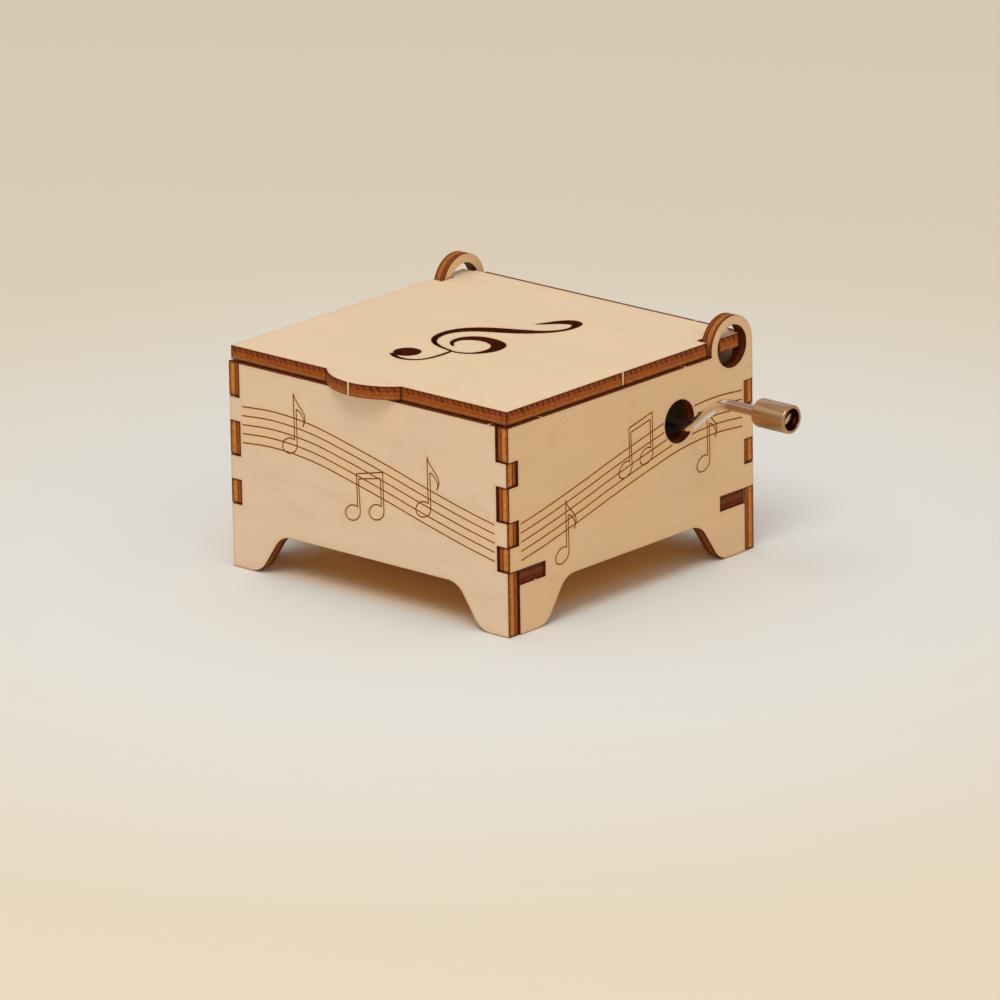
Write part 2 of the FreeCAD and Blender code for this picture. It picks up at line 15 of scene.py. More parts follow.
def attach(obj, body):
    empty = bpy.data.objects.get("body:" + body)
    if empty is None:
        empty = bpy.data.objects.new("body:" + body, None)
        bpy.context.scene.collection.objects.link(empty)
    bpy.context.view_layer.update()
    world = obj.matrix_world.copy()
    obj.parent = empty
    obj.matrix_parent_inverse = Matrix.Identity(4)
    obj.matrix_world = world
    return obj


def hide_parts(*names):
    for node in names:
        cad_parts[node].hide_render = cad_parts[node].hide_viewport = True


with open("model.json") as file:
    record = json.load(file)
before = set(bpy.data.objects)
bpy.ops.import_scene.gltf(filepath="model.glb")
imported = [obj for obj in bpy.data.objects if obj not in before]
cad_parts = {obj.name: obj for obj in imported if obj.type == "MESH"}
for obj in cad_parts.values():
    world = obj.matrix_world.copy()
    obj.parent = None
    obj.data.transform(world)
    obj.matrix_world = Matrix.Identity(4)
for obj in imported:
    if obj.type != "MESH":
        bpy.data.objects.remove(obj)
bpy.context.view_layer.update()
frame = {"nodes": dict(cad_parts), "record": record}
nodes = frame["nodes"]

MM = 0.001
UV_SCALE = 0.01              # one unit of the UV map is 100 mm
PLY = 2.7
WORN = 0.05                  # chamfer that handling leaves on a cut edge
STEP = 1.2                   # longest run between two points along a cut
BURN_RINGS = (0.16, 0.42, 0.95)
GROOVE_DEPTH = 0.13
LINE_WIDTH = 0.27
STAIN_REACH = 0.95           # how far smoke has stained the veneer beside an engraved line
NICK_HALF = 0.27             # half the width of a broken-off bridge
NICK_DEPTH = 0.12
TURN_REACH = 2.0


# --- Nodes of a material ----------------------------------------------------------------------

class Tree:
    """A material's node tree, with short calls for what the materials here share."""

    def __init__(self, name, roughness=0.5, metallic=0.0, specular=0.5):
        self.material = bpy.data.materials.new(name)
        self.material.use_nodes = True
        self.tree = self.material.node_tree
        self.shader = self.tree.nodes["Principled BSDF"]
        self.shader.inputs["Roughness"].default_value = roughness
        self.shader.inputs["Metallic"].default_value = metallic
        self.shader.inputs["Specular IOR Level"].default_value = specular

    def add(self, kind, **settings):
        node = self.tree.nodes.new(kind)
        for key, value in settings.items():
            setattr(node, key, value)
        return node

    def link(self, source, target):
        self.tree.links.new(source, target)

    def feed(self, socket, value):
        if isinstance(value, bpy.types.NodeSocket):
            self.link(value, socket)
        else:
            socket.default_value = value

    def math(self, operation, *values, clamp=False):
        node = self.add("ShaderNodeMath", operation=operation, use_clamp=clamp)
        for socket, value in zip(node.inputs, values):
            self.feed(socket, value)
        return node.outputs[0]

    def object_point(self, scale):
        """Object coordinates, scaled by (x, y, z) from metres."""
        mapping = self.add("ShaderNodeMapping")
        mapping.inputs["Scale"].default_value = scale
        self.link(self.add("ShaderNodeTexCoord").outputs["Object"], mapping.inputs["Vector"])
        return mapping.outputs[0]

    def uv_point(self, scale, offset=(0.0, 0.0, 0.0)):
        mapping = self.add("ShaderNodeMapping")
        mapping.inputs["Scale"].default_value = scale
        mapping.inputs["Location"].default_value = offset
        self.link(self.add("ShaderNodeUVMap", uv_map="flat").outputs["UV"], mapping.inputs["Vector"])
        return mapping.outputs[0]

    def attribute(self, name):
        return self.add("ShaderNodeAttribute", attribute_name=name).outputs["Fac"]

    def noise(self, point, scale=1.0, detail=4.0, roughness=0.55, distortion=0.0):
        node = self.add("ShaderNodeTexNoise")
        self.link(point, node.inputs["Vector"])
        node.inputs["Scale"].default_value = scale
        node.inputs["Detail"].default_value = detail
        node.inputs["Roughness"].default_value = roughness
        node.inputs["Distortion"].default_value = distortion
        return node.outputs["Fac"]

    def ramp(self, value, stops, interpolation="LINEAR"):
        node = self.add("ShaderNodeValToRGB")
        node.color_ramp.interpolation = interpolation
        elements = node.color_ramp.elements
        while len(elements) < len(stops):
            elements.new(0.5)
        for element, (place, colour) in zip(elements, stops):
            element.position = place
            element.color = colour if len(colour) == 4 else (*colour, 1.0)
        self.link(value, node.inputs[0])
        return node.outputs[0]

    def span(self, value, low, high, to_low=0.0, to_high=1.0):
        node = self.add("ShaderNodeMapRange", clamp=True)
        for socket, v in zip(node.inputs, (value, low, high, to_low, to_high)):
            self.feed(socket, v)
        return node.outputs[0]

    def mix(self, factor, first, second, blend="MIX"):
        node = self.add("ShaderNodeMix", data_type="RGBA", blend_type=blend)
        self.feed(node.inputs[0], factor)
        for socket, value in ((node.inputs[6], first), (node.inputs[7], second)):
            self.feed(socket, value if isinstance(value, bpy.types.NodeSocket) else (*value, 1.0))
        return node.outputs[2]

    def bump(self, height, distance, strength=1.0, normal=None):
        node = self.add("ShaderNodeBump")
        node.inputs["Strength"].default_value = strength
        node.inputs["Distance"].default_value = distance
        self.link(height, node.inputs["Height"])
        if normal:
            self.link(normal, node.inputs["Normal"])
        return node.outputs[0]

    def finish(self, colour, roughness=None, normal=None):
        self.feed(self.shader.inputs["Base Color"], colour)
        if roughness is not None:
            self.feed(self.shader.inputs["Roughness"], roughness)
        if normal is not None:
            self.link(normal, self.shader.inputs["Normal"])
        return self.material


def srgb(red, green, blue):
    """A colour from 0-255 display values, as the linear values that Blender takes."""
    values = []
    for v in (red, green, blue):
        c = v / 255
        values.append(c / 12.92 if c <= 0.04045 else ((c + 0.055) / 1.055) ** 2.4)
    return tuple(values)


# --- Materials --------------------------------------------------------------------------------

def veneer_material(name, tone, offset):
    """Birch veneer: long fine streaks, broad soft bands, short pores and a scorched rim."""
    t = Tree(name, roughness=0.55, specular=0.35)
    base = srgb(*tone)

    def shade(red, green, blue):
        return tuple(min(1.0, v * f) for v, f in zip(base, (red, green, blue)))

    fine = t.noise(t.uv_point((30, 900, 1), (offset, offset, 0)), detail=5)
    broad = t.noise(t.uv_point((4, 46, 1), (offset, 0, 0)), detail=3, distortion=0.6)
    cloud = t.noise(t.uv_point((5, 7, 1), (0, offset, 0)), detail=2)
    pores = t.noise(t.uv_point((55, 1500, 1), (0, offset, 0)), detail=2)
    flecks = t.noise(t.uv_point((140, 700, 1), (offset, 0, 0)), detail=1)
    colour = t.mix(t.span(broad, 0.38, 0.68), base, shade(0.955, 0.93, 0.88))
    colour = t.mix(t.span(cloud, 0.40, 0.72), colour, shade(1.03, 0.985, 0.93))
    colour = t.mix(t.span(fine, 0.50, 0.80, 0.0, 0.5), colour, shade(1.04, 1.06, 1.08))
    # Growth lines: thin, faint and wavy, some millimetres apart
    across = t.add("ShaderNodeSeparateXYZ")
    t.link(t.uv_point((1, 1, 1)), across.inputs[0])
    wave = t.noise(t.uv_point((1.6, 4.5, 1), (offset, offset, 0)), detail=2)
    rings = t.math("PINGPONG", t.math("ADD", t.math("MULTIPLY", across.outputs[1], 13.0),
                                      t.math("MULTIPLY", wave, 7.0)), 0.5)
    fading = t.span(t.noise(t.uv_point((7, 20, 1), (0, offset, 0)), detail=2), 0.40, 0.70)
    line = t.math("MULTIPLY", t.span(rings, 0.0, 0.045, 0.34, 0.0), fading)
    colour = t.mix(line, colour, shade(0.74, 0.62, 0.48))
    colour = t.mix(t.span(pores, 0.66, 0.80, 0.0, 0.30), colour, shade(0.74, 0.64, 0.52))
    colour = t.mix(t.span(flecks, 0.70, 0.80, 0.0, 0.35), colour, shade(0.80, 0.68, 0.52))
    # Smoke stain beside engraved lines, and the scorched rim
    colour = t.mix(t.math("MULTIPLY", t.attribute("stain"), 0.42), colour, shade(1.02, 0.84, 0.50))
    wander = t.noise(t.object_point((900, 900, 900)), detail=3)
    edge = t.math("ADD", t.attribute("edge"), t.math("MULTIPLY", t.math("SUBTRACT", wander, 0.5), 0.14))
    halo = t.span(edge, 0.10, 0.95, 0.26, 0.0)
    colour = t.mix(halo, colour, srgb(206, 150, 98))
    scorch = t.span(edge, 0.015, 0.13, 0.92, 0.0)
    colour = t.mix(scorch, colour, srgb(104, 48, 20))
    rough = t.span(fine, 0.3, 0.7, 0.50, 0.62)
    height = t.math("ADD", t.math("MULTIPLY", fine, 0.6), t.math("MULTIPLY", pores, -0.5))
    return t.finish(colour, rough, t.bump(height, 0.00003, 0.5))


WALL_PLIES = (
    (0.00, (62, 20, 6)), (0.06, (104, 44, 12)), (0.15, (168, 92, 32)), (0.36, (214, 142, 62)),
    (0.57, (198, 120, 44)), (0.62, (104, 42, 12)), (0.68, (100, 40, 10)), (0.74, (172, 92, 32)),
    (0.88, (146, 72, 22)), (0.96, (88, 32, 8)), (1.00, (62, 20, 6)))
LID_PLIES = (
    (0.00, (60, 20, 6)), (0.07, (116, 46, 12)), (0.22, (156, 72, 22)), (0.33, (150, 68, 20)),
    (0.36, (112, 46, 12)), (0.40, (166, 84, 26)), (0.62, (172, 92, 32)), (0.66, (120, 52, 14)),
    (0.70, (170, 92, 34)), (0.88, (180, 104, 44)), (0.95, (110, 48, 16)), (1.00, (206, 144, 84)))
TICK_SPACING, TICK_SLANT = 1.5, 0.5      # mm along the cut, and mm sideways for each mm down


def cut_material(name, stops, tick_share):
    """The laser's cut through three plies: burnt rims, glue lines, charred ticks across it."""
    t = Tree(name, roughness=0.75, specular=0.12)
    depth = t.attribute("depth")
    wave = t.noise(t.uv_point((160, 60, 1)), detail=2)
    shifted = t.math("ADD", depth, t.math("MULTIPLY", t.math("SUBTRACT", wave, 0.5), 0.16))
    place = t.math("DIVIDE", shifted, PLY)
    plies = t.ramp(place, [(stop, srgb(*colour)) for stop, colour in stops])
    # The pulses of the laser leave fine lines across the thickness, which slant a little
    run = t.add("ShaderNodeSeparateXYZ")
    t.link(t.uv_point((1, 1, 1)), run.inputs[0])
    slanted = t.math("SUBTRACT", run.outputs[0], t.math("MULTIPLY", run.outputs[1], TICK_SLANT))
    wander = t.math("MULTIPLY", t.noise(t.uv_point((90, 20, 1)), detail=2), 0.012)
    cell = t.math("MULTIPLY", t.math("ADD", slanted, wander), 2 / (TICK_SPACING * UV_SCALE))
    ticks = t.math("PINGPONG", cell, 1.0)
    strength = t.span(t.noise(t.uv_point((45, 12, 1)), detail=2), 0.30, 0.52)
    reach = t.span(shifted, 0.8, 1.7, 1.0, 0.0)
    tick = t.math("MULTIPLY", t.span(ticks, 0.05, 0.60, tick_share, 0.0), t.math("MULTIPLY", strength, reach))
    streak = t.noise(t.uv_point((60, 620, 1)), detail=4, roughness=0.65)
    blotch = t.noise(t.uv_point((60, 90, 1), (0.3, 0, 0)), detail=4, roughness=0.6)
    colour = t.mix(t.span(streak, 0.42, 0.70, 0.0, 0.65), plies, srgb(122, 52, 12))
    colour = t.mix(t.span(streak, 0.25, 0.42, 0.45, 0.0), colour, srgb(232, 166, 84))
    colour = t.mix(t.span(blotch, 0.55, 0.80, 0.0, 0.60), colour, srgb(98, 38, 10))
    # Charred deep in slots and holes, with painted shade there too, and along the corners where the beam turned
    soot = t.mix(t.span(blotch, 0.35, 0.65), srgb(62, 14, 5), srgb(108, 38, 10))
    colour = t.mix(t.attribute("char_and_shade"), colour, soot)
    corner = t.math("ADD", t.attribute("turn"), t.math("MULTIPLY", t.math("SUBTRACT", wave, 0.5), 0.16))
    colour = t.mix(t.span(corner, 0.10, 0.42, 0.85, 0.0), colour, srgb(62, 18, 6))
    colour = t.mix(tick, colour, srgb(72, 22, 6))
    height = t.math("SUBTRACT", streak, t.math("MULTIPLY", tick, 0.6))
    return t.finish(colour, t.span(streak, 0.3, 0.7, 0.55, 0.8), t.bump(height, 0.00006, 0.6))


def groove_material():
    """A line burnt into the veneer, darker where the laser dwelt."""
    t = Tree("engraved_line", roughness=0.8, specular=0.15)
    dwell = t.noise(t.object_point((1100, 1100, 1100)), detail=3)
    soot = t.noise(t.object_point((160, 160, 160)), detail=2)
    colour = t.mix(t.span(dwell, 0.35, 0.70), srgb(160, 88, 32), srgb(122, 58, 14))
    colour = t.mix(t.span(soot, 0.40, 0.65, 0.0, 0.6), colour, srgb(100, 42, 8))
    return t.finish(colour, None, t.bump(dwell, 0.00003, 0.5))


def splinter_material():
    """Bare wood where a bridge that held the panel in its sheet was broken off."""
    t = Tree("bare_nick", roughness=0.75, specular=0.2)
    fibre = t.noise(t.object_point((900, 900, 4000)), detail=3)
    colour = t.mix(fibre, srgb(205, 158, 104), srgb(240, 208, 165))
    return t.finish(colour, None, t.bump(fibre, 0.00004, 0.6))


def handle_tarnish_and_reflection(t, colour):
    """Browner plating on the crank's handle than on its arm: partly tarnish from handling, partly painted reflection
    of the wood.
    """
    place = t.add("ShaderNodeSeparateXYZ")
    t.link(t.object_point((1, 1, 1)), place.inputs[0])
    start, end = (ARM_CORNER + 8.2) * MM, (ARM_CORNER + 10.5) * MM
    return t.mix(t.span(place.outputs[0], start, end, 0.0, 0.8), colour, srgb(168, 118, 80))


def painted_bore_shade(t, colour):
    """Painted shade inside the knob's bore, up to its bright rim."""
    moved_point = t.add("ShaderNodeVectorMath", operation="SUBTRACT")
    t.link(t.object_point((0, 1, 1)), moved_point.inputs[0])
    moved_point.inputs[1].default_value = (0.0, CRANK_Y * MM, (CRANK_Z + THROW) * MM)
    out = t.add("ShaderNodeVectorMath", operation="LENGTH")
    t.link(moved_point.outputs[0], out.inputs[0])
    return t.mix(t.span(out.outputs["Value"], 0.00215, 0.00228, 0.88, 0.0), colour, srgb(78, 34, 18))


def metal_material(name, tone, roughness, turned_axis=None, ring_scale=9000.0, mottle=0.10, painted_light_and_tarnish=None):
    """Bare or plated metal: fine tool marks round or along an axis, soft stains and uneven gloss."""
    t = Tree(name, roughness=roughness, metallic=1.0)
    base = srgb(*tone)
    scale = [700.0, 700.0, 700.0]
    if turned_axis is not None:
        scale[turned_axis] = ring_scale
    marks = t.noise(t.object_point(tuple(scale)), detail=3, roughness=0.6)
    cloud = t.noise(t.object_point((260, 260, 260)), detail=3)
    grime = t.noise(t.object_point((90, 90, 90)), detail=5, roughness=0.65)
    shade = tuple(v * (1.0 - 2.2 * mottle) for v in base)
    colour = t.mix(t.span(cloud, 0.35, 0.70), base, tuple(v * (1.0 - mottle) for v in base))
    colour = t.mix(t.span(marks, 0.45, 0.80, 0.0, 0.5), colour, shade)
    colour = t.mix(t.span(grime, 0.55, 0.80, 0.0, 0.35), colour, tuple(v * 0.6 for v in base))
    # Some metals get more: painted shade inside the knob's bore, and tarnish with painted reflection on the crank's
    # handle
    if painted_light_and_tarnish:
        colour = painted_light_and_tarnish(t, colour)
    rough = t.math("ADD", t.span(marks, 0.3, 0.7, roughness * 0.8, roughness * 1.25),
                   t.span(grime, 0.5, 0.8, 0.0, 0.12))
    return t.finish(colour, rough, t.bump(marks, 0.00001, 0.35))


def plastic_material():
    """Moulded acetal: slightly waxy, with a faint mottle from the mould."""
    t = Tree("acetal", roughness=0.38, specular=0.45)
    mottle = t.noise(t.object_point((500, 500, 500)), detail=3)
    flow = t.noise(t.object_point((120, 120, 120)), detail=2)
    colour = t.mix(t.span(flow, 0.35, 0.65), srgb(240, 237, 226), srgb(226, 221, 206))
    colour = t.mix(t.span(mottle, 0.55, 0.80, 0.0, 0.35), colour, srgb(208, 201, 184))
    return t.finish(colour, t.span(mottle, 0.3, 0.7, 0.32, 0.46), t.bump(mottle, 0.00002, 0.3))


def floor_material():
    """Pale floor: off-white round the box, cream further out, and a painted warm shadow under the box."""
    t = Tree("floor", roughness=0.9, specular=0.1)
    distance = t.add("ShaderNodeVectorMath", operation="LENGTH")
    t.link(t.object_point((1, 1, 0)), distance.inputs[0])
    colour = t.mix(t.span(distance.outputs["Value"], 0.09, 0.21), srgb(228, 226, 220), srgb(227, 213, 190))
    # Painted shade: within the box's footprint the floor is tinted warm brown, standing in for the shadow there and
    # the light the wood bounces into it
    place = t.add("ShaderNodeSeparateXYZ")
    t.link(t.object_point((1, 1, 1)), place.inputs[0])
    reach = t.math("MAXIMUM", t.math("ABSOLUTE", place.outputs[0]), t.math("ABSOLUTE", place.outputs[1]))
    return t.finish(t.mix(t.span(reach, 0.027, 0.038, 1.0, 0.0), colour, srgb(238, 186, 118)))


# --- Flat shapes ------------------------------------------------------------------------------

def smooth_line(points, pieces=8):
    """A smooth run of points through the given ones."""
    p = [np.array(q, float) for q in points]
    p = [2 * p[0] - p[1]] + p + [2 * p[-1] - p[-2]]
    line = []
    for i in range(1, len(p) - 2):
        for k in range(pieces):
            s = k / pieces
            a, b, c, d = p[i - 1], p[i], p[i + 1], p[i + 2]
            line.append(0.5 * (2 * b + (c - a) * s + (2 * a - 5 * b + 4 * c - d) * s ** 2
                               + (3 * b - a - 3 * c + d) * s ** 3))
    return line + [p[-2]]


def ribbon(points, width=LINE_WIDTH):
    """The closed outline of a line of some width along the points."""
    p = [np.array(q, float) for q in points]
    sides = ([], [])
    for i, q in enumerate(p):
        along = p[min(i + 1, len(p) - 1)] - p[max(i - 1, 0)]
        along /= np.linalg.norm(along)
        across = np.array((-along[1], along[0])) * width / 2
        sides[0].append(q + across)
        sides[1].append(q - across)
    return [sides[0] + sides[1][::-1]]


def outside_hole(line, hole):
    """The stretches of a line that stay clear of a round hole."""
    u, v, radius = hole
    stretches = [[]]
    for p in line:
        if math.hypot(p[0] - u, p[1] - v) > radius:
            stretches[-1].append(p)
        elif stretches[-1]:
            stretches.append([])
    return [s for s in stretches if len(s) > 1]


def inside(points, loops):
    """Which points lie in the even-odd area of the loops."""
    x, y = points[:, 0], points[:, 1]
    result = np.zeros(len(points), bool)
    for loop in loops:
        a = np.asarray(loop)
        b = np.roll(a, -1, axis=0)
        for (x0, y0), (x1, y1) in zip(a, b):
            if y0 == y1:
                continue
            crosses = (y0 > y) != (y1 > y)
            result ^= crosses & (x < (x1 - x0) * (y - y0) / (y1 - y0) + x0)
    return result


def distances(points, loops):
    """The distance of each point from the nearest edge of the loops."""
    best = np.full(len(points), 1e9)
    for loop in loops:
        a = np.asarray(loop)
        b = np.roll(a, -1, axis=0)
        for p, q in zip(a, b):
            d = q - p
            t = np.clip(((points - p) @ d) / (d @ d), 0, 1)
            best = np.minimum(best, np.linalg.norm(points - p - t[:, None] * d, axis=1))
    return best


# --- Plywood sheets ---------------------------------------------------------------------------

PLANES = {0: (1, 2), 1: (0, 2), 2: (0, 1)}      # the axes that u and v run along


def node_loops(node, axis):
    """A flat node's outlines in the plane across axis, with the wood on their left, and its extent."""
    bm = bmesh.new()
    bm.from_mesh(nodes[node].data)
    bmesh.ops.remove_doubles(bm, verts=bm.verts, dist=1e-6)
    heights = [v.co[axis] for v in bm.verts]
    low, high = min(heights), max(heights)
    level = low if axis == 1 else high
    u, v = PLANES[axis]
    edges = set()
    for face in bm.faces:
        if all(abs(vert.co[axis] - level) < 2e-6 for vert in face.verts):
            ends = [vert.index for vert in face.verts]
            edges.update(zip(ends, ends[1:] + ends[:1]))
    following = {a: b for a, b in edges if (b, a) not in edges}
    bm.verts.ensure_lookup_table()
    loops = []
    while following:
        start, here = following.popitem()
        loop = [start]
        while here != start:
            loop.append(here)
            here = following.pop(here)
        loops.append([np.array((bm.verts[i].co[u], bm.verts[i].co[v])) / MM for i in loop])
    bm.free()
    return loops, low / MM, high / MM


def resampled(loop):
    points = []
    for i, p in enumerate(loop):
        q = loop[(i + 1) % len(loop)]
        count = max(1, math.ceil(np.linalg.norm(q - p) / STEP))
        points += [p + (q - p) * k / count for k in range(count)]
    return points


def with_nick(loops, nick):
    """The loops, with a small notch where a bridge to the rest of the sheet was broken off."""
    best = None
    for number, loop in enumerate(loops):
        for i, p in enumerate(loop):
            d = loop[(i + 1) % len(loop)] - p
            t = float(np.clip((np.array(nick) - p) @ d / (d @ d), 0, 1))
            gap = np.linalg.norm(p + t * d - nick)
            if best is None or gap < best[0]:
                best = (gap, number, i, p + t * d, d / np.linalg.norm(d))
    number, i, middle, along = best[1:]
    inner = np.array((-along[1], along[0])) * NICK_DEPTH
    notch = [middle - along * NICK_HALF, middle - along * NICK_HALF * 0.85 + inner,
             middle + along * NICK_HALF * 0.85 + inner, middle + along * NICK_HALF]
    # The notch takes the place of the points beside it, so that no two points coincide
    rest = loops[number][i + 1:] + loops[number][:i + 1]
    loops[number] = notch + [p for p in rest if np.linalg.norm(p - middle) > 1.2 * NICK_HALF]
    return middle


def area(loop):
    a = np.asarray(loop)
    b = np.roll(a, -1, axis=0)
    return float(np.sum(a[:, 0] * b[:, 1] - b[:, 0] * a[:, 1])) / 2


def turn_distances(loop):
    """How far each point of a loop is, along it, from the nearest sharp corner."""
    count = len(loop)
    steps = [float(np.linalg.norm(loop[(i + 1) % count] - loop[i])) for i in range(count)]
    result = [TURN_REACH] * count
    for i in range(count):
        before = (loop[i] - loop[i - 1]) / steps[i - 1]
        after = (loop[(i + 1) % count] - loop[i]) / steps[i]
        if before @ after < math.cos(math.radians(30)):
            result[i] = 0.0
    for _ in range(2):
        for i in range(count):
            result[i] = min(result[i], result[i - 1] + steps[i - 1])
        for i in reversed(range(count)):
            result[i] = min(result[i], result[(i + 1) % count] + steps[i])
    return result


def inward(loop):
    """At each point of a loop, how far to go for each unit of distance into the wood."""
    moves = []
    for i, p in enumerate(loop):
        before = p - loop[i - 1]
        after = loop[(i + 1) % len(loop)] - p
        n0 = np.array((-before[1], before[0])) / np.linalg.norm(before)
        n1 = np.array((-after[1], after[0])) / np.linalg.norm(after)
        moves.append((n0 + n1) / max(1 + n0 @ n1, 0.4))
    return moves


class Sheet:
    """A laser-cut sheet in mesh code: two faces, a worn and burnt edge, and engraved grooves."""

    def __init__(self, node, axis, outer_is_high, body, materials, strokes=(), nicks=(), char_and_shade=None):
        self.axis = axis
        self.loops, self.low, self.high = node_loops(node, axis)
        self.nicks = [with_nick(self.loops, nick) for nick in nicks]
        self.char_and_shade = char_and_shade
        self.loops = [resampled(loop) for loop in self.loops]
        self.outer = self.high if outer_is_high else self.low
        self.points = []
        self.edge = []
        self.stain = {}
        self.turn = {}
        self.runs = {}
        self.char_and_shade_by_face = {}
        self.faces = []
        self.slots = []
        inner = self.low if outer_is_high else self.high
        self.moves = [inward(loop) for loop in self.loops]
        self.rims = [[p + m * WORN for p, m in zip(loop, moves)]
                     for loop, moves in zip(self.loops, self.moves)]
        rows = {}
        for level, lines in ((self.outer, strokes), (inner, ())):
            rows[level] = self.face(level, lines)
        self.walls(rows)
        self.object = self.build(node, materials)
        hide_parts(node)
        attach(self.object, body)

    def vertex(self, u, v, w, edge):
        place = [0.0, 0.0, 0.0]
        plane = PLANES[self.axis]
        place[plane[0]], place[plane[1]], place[self.axis] = u, v, w
        self.points.append(place)
        self.edge.append(edge)
        return len(self.points) - 1

    def polygon(self, corners, slot, counter_clockwise, runs=None):
        """Adds a face, turned so that it looks outwards; runs say how far round the cut its corners are."""
        self.faces.append(corners if counter_clockwise else corners[::-1])
        self.slots.append(slot)
        if runs:
            self.runs[len(self.faces) - 1] = runs if counter_clockwise else runs[::-1]

    def face(self, level, strokes):
        """One side of the sheet, cut into triangles that follow the grooves and the scorched rim."""
        coords = [p for rim in self.rims for p in rim]
        edges = []
        first = 0
        for rim in self.rims:
            edges += [(first + i, first + (i + 1) % len(rim)) for i in range(len(rim))]
            first += len(rim)
        rim_count = first
        for stroke in strokes:
            for loop in stroke:
                start = len(coords)
                coords += loop
                edges += [(start + i, start + (i + 1) % len(loop)) for i in range(len(loop))]
        extra = [(p + m * d, d) for d in BURN_RINGS
                 for loop, moves in zip(self.loops, self.moves) for p, m in zip(loop, moves)]
        places = np.array([p for p, d in extra])
        wanted = np.array([d for p, d in extra])
        keep = (distances(places, self.loops) > 0.93 * wanted) & inside(places, self.loops)
        coords += list(places[keep])
        lines = [loop for stroke in strokes for loop in stroke]
        if lines:
            beside = np.array([p + m * STAIN_REACH for loop in lines for p, m in zip(loop, inward(loop))])
            clear = (distances(beside, lines) > 0.9 * STAIN_REACH) & (distances(beside, self.loops) > 0.3)
            coords += list(beside[clear & inside(beside, self.loops)])
        result = delaunay_2d_cdt([Vector(c) for c in coords], edges, [], 0, 1e-5)
        flat = np.array([tuple(c) for c in result[0]])
        triangles = [f for f in result[2]]
        centres = np.array([flat[list(f)].mean(axis=0) for f in triangles])
        wood = inside(centres, self.rims)
        cut = np.zeros(len(triangles), bool)
        for stroke in strokes:
            cut |= inside(centres, stroke)
        edge = distances(flat, self.loops)
        stain = 1 - np.clip(distances(flat, lines) / STAIN_REACH, 0, 1) if lines else np.zeros(len(flat))
        side = 1 if level == self.high else -1
        natural = -1 if self.axis == 1 else 1
        turn = side == natural
        top = {}
        floor = {}

        def at(index, book, w):
            if index not in book:
                book[index] = self.vertex(*flat[index], w, edge[index])
                self.stain[book[index]] = stain[index]
            return book[index]

        owners = {}
        for number, triangle in enumerate(triangles):
            if not wood[number]:
                continue
            a, b, c = (flat[i] for i in triangle)
            ordered = list(triangle) if area((a, b, c)) > 0 else list(triangle)[::-1]
            if cut[number]:
                corners = [at(i, floor, level - side * GROOVE_DEPTH) for i in ordered]
            else:
                corners = [at(i, top, level) for i in ordered]
            self.polygon(corners, 2 if cut[number] else 0, turn)
            for a, b in zip(ordered, ordered[1:] + ordered[:1]):
                owners[(a, b)] = bool(cut[number])
        for (a, b), groove in owners.items():
            if groove and owners.get((b, a)) is False:
                corners = [at(a, floor, 0), at(a, top, level), at(b, top, level), at(b, floor, 0)]
                self.polygon(corners, 2, turn)
        where = {}
        for index, sources in enumerate(result[3]):
            for source in sources:
                if source < rim_count:
                    where[source] = at(index, top, level)
        return where

    def walls(self, rows):
        """The cut edge all round, with a worn chamfer at both faces."""
        natural = self.axis != 1
        first = 0
        for loop in self.loops:
            run = 0.0
            hole = area(loop) < 0
            turns = turn_distances(loop)
            columns = []
            for i, p in enumerate(loop):
                columns.append([rows[self.low][first + i], self.vertex(*p, self.low + WORN, 0.0),
                                self.vertex(*p, self.high - WORN, 0.0), rows[self.high][first + i]])
                self.turn.update((index, turns[i]) for index in columns[-1])
            for i, column in enumerate(columns):
                j = (i + 1) % len(columns)
                following = columns[j]
                end = run + float(np.linalg.norm(loop[j] - loop[i]))
                middle = (loop[i] + loop[j]) / 2
                bare = any(np.linalg.norm(middle - nick) < NICK_HALF for nick in self.nicks)
                for k in range(3):
                    corners = [column[k], following[k], following[k + 1], column[k + 1]]
                    self.polygon(corners, 3 if bare else 1, natural, [run, end, end, run])
                    # How dark this stretch of cut is: charring, and painted shade in holes, slots and recesses
                    self.char_and_shade_by_face[len(self.faces) - 1] = self.char_and_shade(middle, hole)
                run = end
            first += len(loop)

    def build(self, node, materials):
        mesh = bpy.data.meshes.new(node + "_dressed")
        mesh.from_pydata([tuple(c * MM for c in p) for p in self.points], [], self.faces)
        for material in materials:
            mesh.materials.append(material)
        mesh.polygons.foreach_set("material_index", self.slots)
        mesh.polygons.foreach_set("use_smooth", [True] * len(self.faces))
        mesh.set_sharp_from_angle(angle=math.radians(28))
        depth = [abs(p[self.axis] - self.outer) for p in self.points]
        stain = [self.stain.get(i, 0.0) for i in range(len(self.points))]
        turn = [self.turn.get(i, TURN_REACH) for i in range(len(self.points))]
        char_and_shade = [self.char_and_shade_by_face.get(i, 0.0) for i in range(len(self.faces))]
        for name, domain, values in (("edge", "POINT", self.edge), ("depth", "POINT", depth),
                                     ("stain", "POINT", stain), ("turn", "POINT", turn), ("char_and_shade", "FACE", char_and_shade)):
            mesh.attributes.new(name, "FLOAT", domain).data.foreach_set("value", values)
        u, v = PLANES[self.axis]
        uv = mesh.uv_layers.new(name="flat").data
        for polygon in mesh.polygons:
            runs = self.runs.get(polygon.index)
            for k, (corner, index) in enumerate(zip(polygon.loop_indices, polygon.vertices)):
                point = self.points[index]
                place = (runs[k], depth[index]) if runs else (point[u], point[v])
                uv[corner].uv = (place[0] * UV_SCALE, place[1] * UV_SCALE)
        mesh.validate()
        obj = bpy.data.objects.new(node + "_dressed", mesh)
        bpy.context.scene.collection.objects.link(obj)
        return obj


# --- Engraving --------------------------------------------------------------------------------

